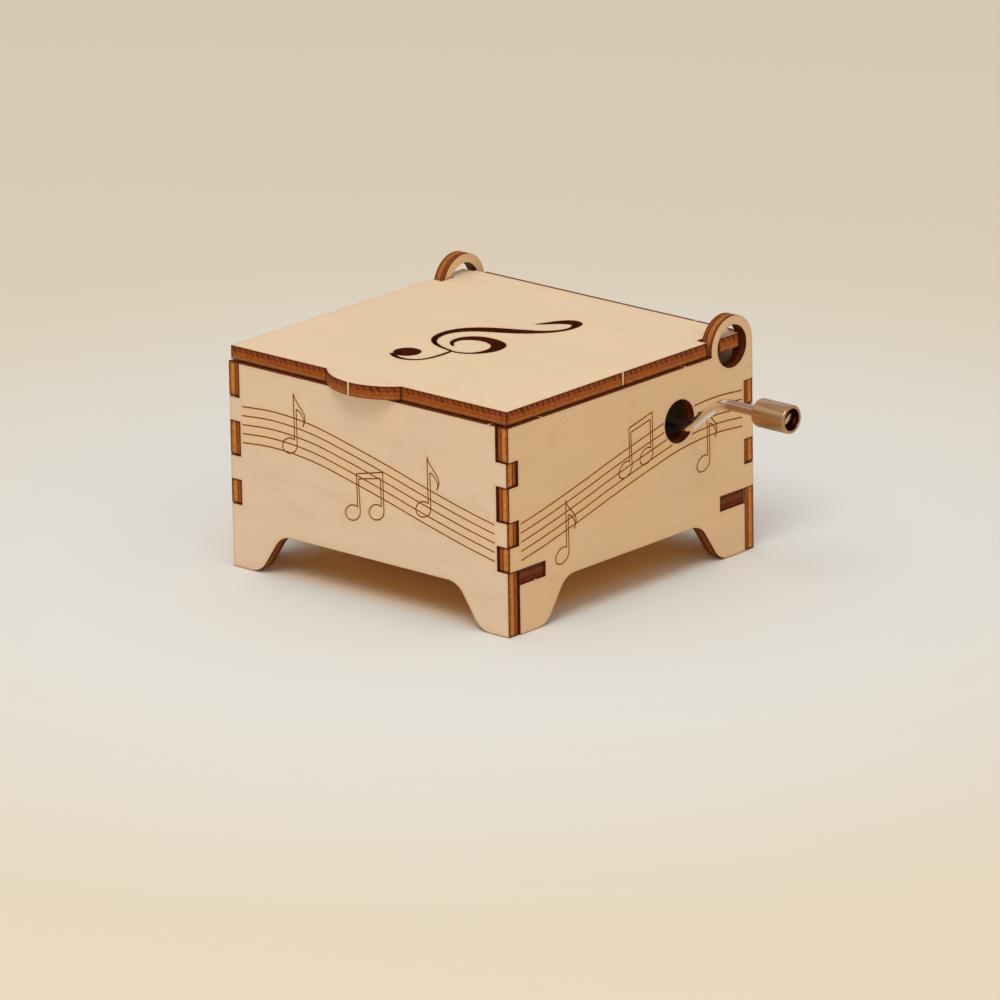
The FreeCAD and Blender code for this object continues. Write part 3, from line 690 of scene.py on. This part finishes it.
STAFF_FRONT = (
    (-32.9, 33.3), (-25.9, 33.8), (-19.3, 33.6), (-12.7, 32.8), (-6.1, 31.4), (0.4, 29.9),
    (6.9, 28.3), (13.3, 26.6), (19.8, 25.0), (26.2, 23.5), (32.9, 22.15))
STAFF_PITCH = 1.84
CRANK_HOLE = (14.0, 31.45, 4.35)
# A note's lines are measured from the middle of its head, which is a leaning oval, open at its stem
HEAD_LONG, HEAD_SHORT, HEAD_LEAN = 2.02, 1.50, 25.0
HEAD_FROM, HEAD_TO = 26.4, 340.8
STEM_LEFT, STEM_RIGHT = (1.32, 1.33), (1.94, 0.36)
QUAVER_TOP = (1.20, 10.85)
QUAVER_INNER_TOP = (1.88, 7.75)
FLAG_OUTER = (QUAVER_TOP, (1.66, 9.78), (2.70, 8.56), (3.70, 7.45), (4.14, 6.50), (4.08, 5.60), (3.60, 4.48))
FLAG_INNER = (QUAVER_INNER_TOP, (2.45, 7.55), (3.10, 7.05), (3.62, 6.35), (3.90, 5.55), (3.60, 4.48))
SECOND_HEAD = (6.25, 1.29)
BEAM_UPPER = ((1.14, 8.13), (8.05, 9.76))
BEAM_LOWER = ((1.66, 7.16), (7.45, 8.40))


def staff(mirror, hole=None):
    """Five lines of a music staff that swing down from left to right, or up if mirrored."""
    strokes = []
    for k in range(5):
        points = [(-x if mirror else x, z - k * STAFF_PITCH) for x, z in STAFF_FRONT]
        line = smooth_line(sorted(points), 8)
        clear = outside_hole(line, (hole[0], hole[1], hole[2] + 0.25)) if hole else [line]
        strokes += [ribbon(stretch) for stretch in clear]
    return strokes


def moved(points, place):
    return [(u + place[0], v + place[1]) for u, v in points]


def head_with_stem(place, left_top, right_top):
    """A head whose outline runs on into the right line of its stem, and the stem's left line."""
    lean = math.radians(HEAD_LEAN)
    line = []
    for k in range(33):
        angle = math.radians(HEAD_FROM + (HEAD_TO - HEAD_FROM) * k / 32)
        a, b = HEAD_LONG * math.cos(angle), HEAD_SHORT * math.sin(angle)
        line.append((a * math.cos(lean) - b * math.sin(lean), a * math.sin(lean) + b * math.cos(lean)))
    line += [(STEM_RIGHT[0] + 0.02, STEM_RIGHT[1] + 0.5), right_top]
    return [ribbon(moved(line, place)), ribbon(moved((left_top, STEM_LEFT), place))]


def quaver(place):
    """An outlined quaver, with a flag that curves down to a point."""
    return head_with_stem(place, QUAVER_TOP, QUAVER_INNER_TOP) + [
        ribbon(moved(smooth_line(flag, 4), place)) for flag in (FLAG_OUTER, FLAG_INNER)]


def beamed(place):
    """Two outlined notes whose stems are joined by a beam."""
    second = (place[0] + SECOND_HEAD[0], place[1] + SECOND_HEAD[1])
    upper_right = (BEAM_UPPER[1][0] - SECOND_HEAD[0], BEAM_UPPER[1][1] - SECOND_HEAD[1])
    lower_right = (BEAM_LOWER[1][0] - SECOND_HEAD[0], BEAM_LOWER[1][1] - SECOND_HEAD[1])
    return (head_with_stem(place, BEAM_UPPER[0], BEAM_LOWER[0])
            + head_with_stem(second, lower_right, upper_right)
            + [ribbon(moved(BEAM_UPPER, place)), ribbon(moved(BEAM_LOWER, place))])


def front_engraving():
    return staff(False) + quaver((-20.27, 27.75)) + beamed((-3.93, 17.31)) + quaver((14.60, 21.64))


def right_engraving():
    return (staff(True, CRANK_HOLE) + quaver((-21.03, 12.82)) + beamed((-2.17, 25.52))
            + quaver((21.06, 21.14)))


# --- Metal pieces -----------------------------------------------------------------------------

CRANK_Y, CRANK_Z = 14.4, 30.6
THROW = 6.5
WIRE_RADIUS = 1.05
WIRE_FROM, WIRE_TO = 4.9, 63.9
ARM_CORNER, ARM_SLOPE = 38.9, 39.8       # where the shaft's axis would meet the arm's, and degrees
INNER_BEND, OUTER_BEND = 5.0, 8.0
TIP_FROM, TIP_CHANGE = 62.5, 0.7         # the wire's end is pressed flat
TIP_HALF_WIDTH, TIP_HALF_THICKNESS, TIP_TURN = 1.35, 0.5, 42.0
KNOB_FROM, KNOB_TO, KNOB_RADIUS = 56.6, 64.8, 2.86
CYLINDER_X, CYLINDER_Z = 14.0, 22.1
CYLINDER_FROM, CYLINDER_TO = -9.6, 9.9
CYLINDER_RADIUS, CYLINDER_WALL = 6.5, 0.6
PIN_RADIUS, PIN_TIP = 0.2, 7.35


def link_mesh(name, points, faces, body, slot, node):
    """A closed piece in millimetres, shaded smooth but for its edges, that stands for a CAD node."""
    bm = bmesh.new()
    verts = [bm.verts.new([c * MM for c in p]) for p in points]
    for face in faces:
        bm.faces.new([verts[i] for i in face])
    bmesh.ops.recalc_face_normals(bm, faces=bm.faces)
    mesh = bpy.data.meshes.new(name)
    bm.to_mesh(mesh)
    bm.free()
    mesh.materials.append(metals[slot])
    mesh.polygons.foreach_set("use_smooth", [True] * len(mesh.polygons))
    mesh.set_sharp_from_angle(angle=math.radians(38))
    obj = bpy.data.objects.new(name, mesh)
    bpy.context.scene.collection.objects.link(obj)
    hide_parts(node)
    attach(obj, body)
    return obj


def rounded(corners, steps=5):
    """A closed outline through corners (along, out, rounding)."""
    result = []
    for i, (x, y, radius) in enumerate(corners):
        p = np.array((x, y), float)
        if radius == 0:
            result.append(p)
            continue
        a = np.array(corners[i - 1][:2]) - p
        b = np.array(corners[(i + 1) % len(corners)][:2]) - p
        a /= np.linalg.norm(a)
        b /= np.linalg.norm(b)
        half = math.acos(float(np.clip(a @ b, -1, 1))) / 2
        centre = p + (a + b) / np.linalg.norm(a + b) * radius / math.sin(half)
        start = p + a * radius / math.tan(half) - centre
        end = p + b * radius / math.tan(half) - centre
        for k in range(steps + 1):
            q = start * math.sin((1 - k / steps) * (math.pi / 2 - half)) + end * math.sin(
                k / steps * (math.pi / 2 - half))
            result.append(centre + q / np.linalg.norm(q) * radius)
    return result


def lathe(profile, centre, axis, sides=64):
    """Points and faces of a closed profile of (along, radius) turned about an axis through a centre."""
    first, second = ((1, 2), (2, 0), (0, 1))[axis]
    points, rings, faces = [], [], []
    for along, radius in profile:
        ring = []
        for k in range(sides if radius > 1e-6 else 1):
            angle = 2 * math.pi * k / sides
            p = [0.0, 0.0, 0.0]
            p[axis] = centre[axis] + along
            p[first] = centre[first] + radius * math.cos(angle)
            p[second] = centre[second] + radius * math.sin(angle)
            ring.append(len(points))
            points.append(p)
        rings.append(ring if len(ring) > 1 else ring * sides)
    for a, b in zip(rings, rings[1:] + rings[:1]):
        for k in range(sides):
            n = (k + 1) % sides
            corners = list(dict.fromkeys((a[k], a[n], b[n], b[k])))
            if len(corners) > 2:
                faces.append(corners)
    return points, faces


def bend(corner, before, after, radius, steps=14):
    """Points and directions round a bend between two directions in the XZ plane."""
    turn = math.acos(float(np.clip(before @ after, -1, 1)))
    start = corner - before * radius * math.tan(turn / 2)
    side = after - before * (before @ after)
    side /= np.linalg.norm(side)
    rows = []
    for k in range(steps + 1):
        angle = turn * k / steps
        rows.append((start + before * radius * math.sin(angle) + side * radius * (1 - math.cos(angle)),
                     before * math.cos(angle) + side * math.sin(angle)))
    return rows


def crank_wire(sides=32):
    """The bent wire: its shaft, the slanting arm, the handle and the flat end that keeps the knob on."""
    slope = math.radians(ARM_SLOPE)
    level, arm = np.array((1.0, 0.0)), np.array((math.cos(slope), math.sin(slope)))
    low = np.array((ARM_CORNER, CRANK_Z))
    high = low + arm * THROW / math.sin(slope)
    rows = [(np.array((WIRE_FROM, CRANK_Z)), level, 0.7, 0.7), (np.array((WIRE_FROM + 0.3, CRANK_Z)), level, 1, 1)]
    rows += [(p, d, 1, 1) for p, d in bend(low, level, arm, INNER_BEND) + bend(high, arm, level, OUTER_BEND)]
    wide, thin = TIP_HALF_WIDTH / WIRE_RADIUS, TIP_HALF_THICKNESS / WIRE_RADIUS
    for k in range(9):
        share = k / 8
        ease = share * share * (3 - 2 * share)
        place = np.array((TIP_FROM + TIP_CHANGE * share, high[1]))
        rows.append((place, level, 1 + (wide - 1) * ease, 1 + (thin - 1) * ease))
    rows.append((np.array((WIRE_TO - 0.12, high[1])), level, wide, thin))
    rows.append((np.array((WIRE_TO, high[1])), level, wide * 0.88, thin * 0.7))
    turn = math.radians(TIP_TURN)
    points, faces = [], []
    for place, along, a, b in rows:
        for k in range(sides):
            angle = 2 * math.pi * k / sides
            u, v = a * WIRE_RADIUS * math.cos(angle), b * WIRE_RADIUS * math.sin(angle)
            y, n = u * math.cos(turn) - v * math.sin(turn), u * math.sin(turn) + v * math.cos(turn)
            points.append((place[0] - along[1] * n, CRANK_Y + y, place[1] + along[0] * n))
    for row in range(len(rows) - 1):
        for k in range(sides):
            a, b = row * sides + k, row * sides + (k + 1) % sides
            faces.append((a, b, b + sides, a + sides))
    faces += [list(range(sides)), list(range((len(rows) - 1) * sides, len(rows) * sides))]
    return link_mesh("bent_wire", points, faces, "crank", "nickel_wire", "crank_shaft")


def knob():
    """The turned sleeve, with rounded rims and a wide mouth at its outer end."""
    bore, mouth = WIRE_RADIUS + 0.07, 2.2
    profile = rounded([(KNOB_FROM, bore, 0.0), (KNOB_FROM, KNOB_RADIUS, 0.6), (KNOB_TO, KNOB_RADIUS, 0.28),
                       (KNOB_TO, mouth, 0.14), (KNOB_TO - 2.7, mouth, 0.25), (KNOB_TO - 2.7, bore, 0.0)])
    points, faces = lathe(profile, (0.0, CRANK_Y, CRANK_Z + THROW), 0, 96)
    return link_mesh("turned_knob", points, faces, "knob", "nickel_knob", "crank_knob")


def pin_places():
    """The foot and direction of each of the tune's pins, from the tips of the CAD's."""
    tips = []
    for vertex in nodes["pinned_cylinder"].data.vertices:
        p = np.array(vertex.co) / MM
        out = np.array((p[0] - CYLINDER_X, p[2] - CYLINDER_Z))
        if np.linalg.norm(out) < PIN_TIP - 0.1:
            continue
        for tip in tips:
            if np.linalg.norm(tip[0] - p) < 3 * PIN_RADIUS:
                tip.append(p)
                break
        else:
            tips.append([p])
    return [np.mean(tip, axis=0) for tip in tips]


def pinned_cylinder():
    """The brass tube, with a small round pin for each note."""
    profile = rounded([(CYLINDER_FROM, CYLINDER_RADIUS - CYLINDER_WALL, 0.1), (CYLINDER_FROM, CYLINDER_RADIUS, 0.12),
                       (CYLINDER_TO, CYLINDER_RADIUS, 0.12), (CYLINDER_TO, CYLINDER_RADIUS - CYLINDER_WALL, 0.1)], 3)
    points, faces = lathe(profile, (CYLINDER_X, 0.0, CYLINDER_Z), 1, 96)
    sides = 10
    for tip in pin_places():
        out = np.array((tip[0] - CYLINDER_X, 0.0, tip[2] - CYLINDER_Z))
        out /= np.linalg.norm(out)
        side = np.cross(out, (0.0, 1.0, 0.0))
        foot = np.array((CYLINDER_X, tip[1], CYLINDER_Z))
        first = len(points)
        for reach, share in ((CYLINDER_RADIUS - 0.3, 1.0), (PIN_TIP - 0.1, 1.0), (PIN_TIP - 0.02, 0.75)):
            for k in range(sides):
                angle = 2 * math.pi * k / sides
                spread = np.array((0.0, 1.0, 0.0)) * math.cos(angle) + side * math.sin(angle)
                points.append(foot + out * reach + spread * PIN_RADIUS * share)
        for row in range(2):
            for k in range(sides):
                a, b = first + row * sides + k, first + row * sides + (k + 1) % sides
                faces.append((a, b, b + sides, a + sides))
        faces += [list(range(first, first + sides)), list(range(first + 2 * sides, first + 3 * sides))]
    return link_mesh("tune_cylinder", points, faces, "cylinder", "brass", "pinned_cylinder")


def islands(node):
    """The separate solids of a node, each as an array of its corners in millimetres."""
    bm = bmesh.new()
    bm.from_mesh(nodes[node].data)
    bmesh.ops.remove_doubles(bm, verts=bm.verts, dist=1e-6)
    left = set(bm.verts)
    result = []
    while left:
        group, todo = [], [left.pop()]
        while todo:
            vert = todo.pop()
            group.append(tuple(c / MM for c in vert.co))
            for edge in vert.link_edges:
                other = edge.other_vert(vert)
                if other in left:
                    left.discard(other)
                    todo.append(other)
        result.append(np.array(group))
    bm.free()
    return sorted(result, key=lambda g: tuple(g.mean(axis=0)))


def cut_boxes(obj, places):
    """Takes boxes out of a piece, where unit cubes land under the given matrices."""
    bm = bmesh.new()
    for place in places:
        bmesh.ops.create_cube(bm, size=1.0, matrix=place)
    mesh = bpy.data.meshes.new("cutter")
    bm.to_mesh(mesh)
    bm.free()
    cutter = bpy.data.objects.new("cutter", mesh)
    bpy.context.scene.collection.objects.link(cutter)
    modifier = obj.modifiers.new("slots", "BOOLEAN")
    modifier.object = cutter
    modifier.solver = "EXACT"
    bpy.context.view_layer.update()
    done = bpy.data.meshes.new_from_object(obj.evaluated_get(bpy.context.evaluated_depsgraph_get()))
    obj.modifiers.clear()
    obj.data = done
    bpy.data.objects.remove(cutter)


def screws(node, up, angles):
    """Round slotted heads on plain shanks, where the CAD's plain ones are."""
    points, faces, slots = [], [], []
    for solid, turn in zip(islands(node), angles):
        low, high = solid.min(axis=0), solid.max(axis=0)
        x, y = (low[:2] + high[:2]) / 2
        reach = np.hypot(solid[:, 0] - x, solid[:, 1] - y)
        head = reach.max() * 0.99
        near = solid[reach > 0.9 * head]
        seat, top = (near[:, 2].min(), high[2]) if up > 0 else (near[:, 2].max(), low[2])
        end = low[2] if up > 0 else high[2]
        shank = reach[np.abs(solid[:, 2] - end) < 0.01].max() * 0.92
        height = abs(top - seat)
        profile = [(end - seat, 0.0), (end - seat, shank), (0.0, shank), (0.0, head)]
        for k in range(9):
            angle = math.radians(90 * k / 8)
            profile.append((up * height * (0.3 + 0.7 * math.sin(angle)), head * math.cos(angle) if k < 8 else 0.0))
        more, corners = lathe(profile, (x, y, seat), 2, 40)
        first = len(points)
        points += more
        faces += [[first + i for i in face] for face in corners]
        slots.append(Matrix.Translation(Vector((x, y, seat + up * height)) * MM) @ Matrix.Rotation(turn, 4, "Z")
                     @ Matrix.Diagonal((3 * head * MM, 0.3 * head * MM, 0.9 * height * MM, 1.0)))
    obj = link_mesh(node + "_slotted", points, faces, "case", "plated_steel", node)
    cut_boxes(obj, slots)
    return obj


# --- Camera, light and floor ------------------------------------------------------------------

CAMERA = (1154.910, -1287.040, 559.664)
FOCAL_PIXELS = 9212.291
AZIMUTH, ELEVATION, ROLL = 41.859, 17.586, -0.961


def add_camera():
    data = bpy.data.cameras.new("camera")
    data.sensor_width = 36.0
    data.lens = FOCAL_PIXELS * 36.0 / 1000.0
    data.clip_end = 50.0
    azimuth, elevation, roll = (math.radians(v) for v in (AZIMUTH, ELEVATION, ROLL))
    back = Vector((math.sin(azimuth) * math.cos(elevation), -math.cos(azimuth) * math.cos(elevation),
                   math.sin(elevation)))
    level = Vector((math.cos(azimuth), math.sin(azimuth), 0.0))
    upright = back.cross(level)
    right = math.cos(roll) * level + math.sin(roll) * upright
    up = -math.sin(roll) * level + math.cos(roll) * upright
    camera = bpy.data.objects.new("camera", data)
    camera.matrix_world = Matrix.Translation(Vector(CAMERA) * MM) @ Matrix((right, up, back)).transposed().to_4x4()
    bpy.context.scene.collection.objects.link(camera)
    bpy.context.scene.camera = camera


def add_light(name, place, target, size, power, colour):
    data = bpy.data.lights.new(name, "AREA")
    data.shape = "DISK"
    data.size = size
    data.energy = power
    data.color = colour
    light = bpy.data.objects.new(name, data)
    light.location = place
    light.rotation_euler = (Vector(target) - Vector(place)).to_track_quat("-Z", "Y").to_euler()
    bpy.context.scene.collection.objects.link(light)


WORLD_LIGHT = 0.70
# What metal sees by height, from the horizon to overhead: dull walls, a bright band and a dark gap above it
STUDIO = ((0.0, 0.55), (0.35, 0.55), (0.52, 0.85), (0.60, 1.0),
          (0.67, 0.95), (0.73, 0.30), (0.80, 0.65), (1.0, 0.75))


def add_world():
    world = bpy.data.worlds.new("world")
    bpy.context.scene.world = world
    world.use_nodes = True
    tree = world.node_tree
    background = tree.nodes["Background"]
    path = tree.nodes.new("ShaderNodeLightPath")
    seen = tree.nodes.new("ShaderNodeMath")
    seen.operation = "MAXIMUM"
    tree.links.new(path.outputs["Is Camera Ray"], seen.inputs[0])
    tree.links.new(path.outputs["Is Glossy Ray"], seen.inputs[1])
    direction = tree.nodes.new("ShaderNodeSeparateXYZ")
    tree.links.new(tree.nodes.new("ShaderNodeTexCoord").outputs["Generated"], direction.inputs[0])
    studio = tree.nodes.new("ShaderNodeValToRGB")
    while len(studio.color_ramp.elements) < len(STUDIO):
        studio.color_ramp.elements.new(0.5)
    for element, (height, level) in zip(studio.color_ramp.elements, STUDIO):
        element.position = height
        element.color = (level, level, level, 1.0)
    tree.links.new(direction.outputs["Z"], studio.inputs[0])
    strength = tree.nodes.new("ShaderNodeMapRange")
    strength.inputs["To Min"].default_value = WORLD_LIGHT
    tree.links.new(studio.outputs[0], strength.inputs["To Max"])
    tree.links.new(seen.outputs[0], strength.inputs["Value"])
    tree.links.new(strength.outputs[0], background.inputs["Strength"])
    background.inputs["Color"].default_value = (*srgb(253, 252, 250), 1.0)


def add_floor():
    bm = bmesh.new()
    bmesh.ops.create_circle(bm, cap_ends=True, segments=96, radius=6.0)
    mesh = bpy.data.meshes.new("floor")
    bm.to_mesh(mesh)
    bm.free()
    mesh.materials.append(floor_material())
    obj = bpy.data.objects.new("floor", mesh)
    obj.location.z = -0.0001
    bpy.context.scene.collection.objects.link(obj)


add_camera()
add_world()
add_light("key", (0.25, -0.70, 1.2), (0.0, 0.0, 0.02), 0.7, 6.8, (1.0, 0.99, 0.975))
add_light("fill", (1.3, -0.5, 0.7), (0.0, 0.0, 0.02), 0.9, 1.6, (1.0, 0.90, 0.76))
add_floor()

wall_cut = cut_material("cut_wall", WALL_PLIES, 0.3)
lid_cut = cut_material("cut_lid", LID_PLIES, 0.95)
groove = groove_material()
nick = splinter_material()
front_veneer = veneer_material("veneer_front", (226, 197, 166), 0.13)
# The side panels' veneer is a darker, more orange copy of the front's: painted shade for the sides, which turn from
# the key light, and partly a sheet of its own tone
shaded_side_veneer = veneer_material("veneer_side_shaded", (223, 187, 143), 2.41)
lid_veneer = veneer_material("veneer_lid", (231, 203, 168), 4.72)


def wall_char_and_shade(place, hole):
    """Dark in the holes, in the slots for other sheets and along the top, from charring and painted shade there;
    golden on the fingers' ends.
    """
    u, v = abs(place[0]), place[1]
    if hole:
        return 0.9
    if 33.0 < u < 35.9 or 23.5 < u < 35.9 and 9.5 < v < 13.6:
        return 0.8
    if u < 33.0 and v < 9.5:
        return 0.55
    if abs(v - 42.0) < 0.1 or abs(v - 44.1) < 0.1:
        return 0.7
    return 0.35 if v > 42.0 else 0.0


# Dark in the clef's holes: charring and painted shade
def lid_char_and_shade(place, hole):
    if hole:
        return 0.9
    return 0.12 if place[1] < -35.0 else 0.0


# The base board's edges are dark all round: charring and painted shade
def base_char_and_shade(place, hole):
    return 0.85


for node, axis, high, body, materials, strokes, nicks, char_and_shade in (
        ("front_panel", 1, False, "case", (front_veneer, wall_cut), front_engraving(),
         ((31.7, 42.0), (-35.2, 35.1)), wall_char_and_shade),
        ("back_panel", 1, True, "case", (front_veneer, wall_cut), (), ((22.0, 44.1),), wall_char_and_shade),
        ("left_panel", 0, False, "case", (shaded_side_veneer, wall_cut), (), ((-4.0, 42.0),), wall_char_and_shade),
        ("right_panel", 0, True, "case", (shaded_side_veneer, wall_cut), right_engraving(),
         ((-26.5, 42.0), (16.1, 42.0), (-28.7, 13.1), (-28.9, 10.2), (28.6, 13.1)), wall_char_and_shade),
        ("base_board", 2, True, "case", (lid_veneer, wall_cut), (), (), base_char_and_shade),
        ("lid", 2, True, "lid", (lid_veneer, lid_cut), (), ((-1.2, -40.0), (36.0, -2.0)), lid_char_and_shade)):
    Sheet(node, axis, high, body, (*materials, groove, nick), strokes, nicks, char_and_shade)

metals = {
    "nickel_wire": metal_material("nickel_wire", (245, 240, 228), 0.20, None, mottle=0.05, painted_light_and_tarnish=handle_tarnish_and_reflection),
    # The knob's nickel has a warm brown tone: painted reflection of the wood round it
    "nickel_knob": metal_material("nickel_knob", (192, 152, 112), 0.22, 0, mottle=0.09, painted_light_and_tarnish=painted_bore_shade),
    "brass": metal_material("brass", (214, 178, 106), 0.30, 1),
    "acetal": plastic_material(),
    "steel": metal_material("steel", (186, 184, 180), 0.32, 2),
    "plated_steel": metal_material("plated_steel", (204, 202, 196), 0.28, None),
    "comb_steel": metal_material("comb_steel", (196, 195, 190), 0.26, 0),
    "lead": metal_material("lead", (128, 130, 134), 0.55, None),
    "cast_zinc": metal_material("cast_zinc", (176, 176, 172), 0.50, None)}
crank_wire()
knob()
pinned_cylinder()
screws("comb_screws", 1, (0.3, 1.2))
screws("bracket_screws", 1, (0.9, 2.3))
screws("bearing_screw", 1, (0.6,))
screws("mounting_screws", -1, (0.2, 1.4, 2.6))

slots = {part["node"]: part["material_slot"] for part in frame["record"]["subparts"]}
for name, slot in slots.items():
    if slot == "plywood":
        continue
    obj = nodes[name]
    if not obj.material_slots:
        obj.data.materials.append(metals[slot])
    for holder in obj.material_slots:
        holder.material = metals[slot]

scene = bpy.context.scene
scene.view_settings.view_transform = "Standard"
